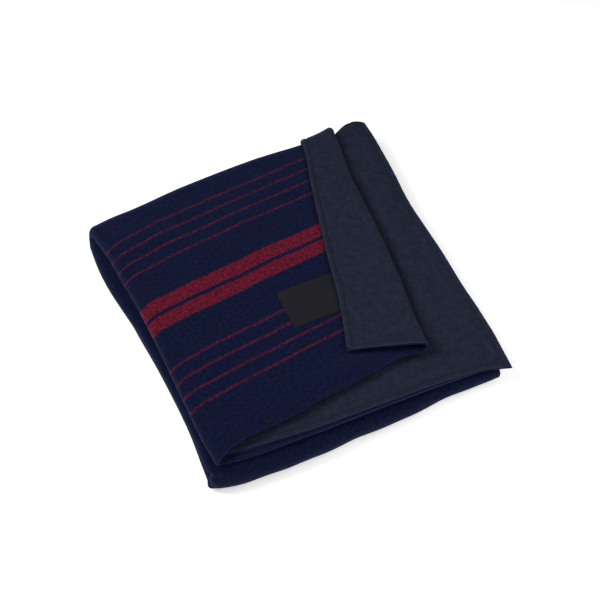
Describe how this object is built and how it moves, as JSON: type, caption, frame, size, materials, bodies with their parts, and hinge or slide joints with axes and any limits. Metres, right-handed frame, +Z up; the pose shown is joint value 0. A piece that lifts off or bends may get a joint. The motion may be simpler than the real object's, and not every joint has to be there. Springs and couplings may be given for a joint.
{
  "type": "folded picnic blanket",
  "caption": "Folded picnic blanket of navy wool cloth with red stripes and a cotton backing, its top end turned back, with a bare woven label.",
  "frame": {"origin": "under the middle of the folded pile, on the surface that it rests on", "axes": "+Z up; X along the front fold to the right; +Y to the back"},
  "size_m": [0.4622, 0.4808, 0.0624],
  "materials": {
    "wool": "brushed wool, navy with red stripes",
    "cotton": "plain woven cotton, slate navy",
    "label": "close woven, charcoal, bare"
  },
  "bodies": {
    "root": {"wool_face": "wool", "cotton_backing": "cotton", "label": "label"}
  },
  "joints": []
}
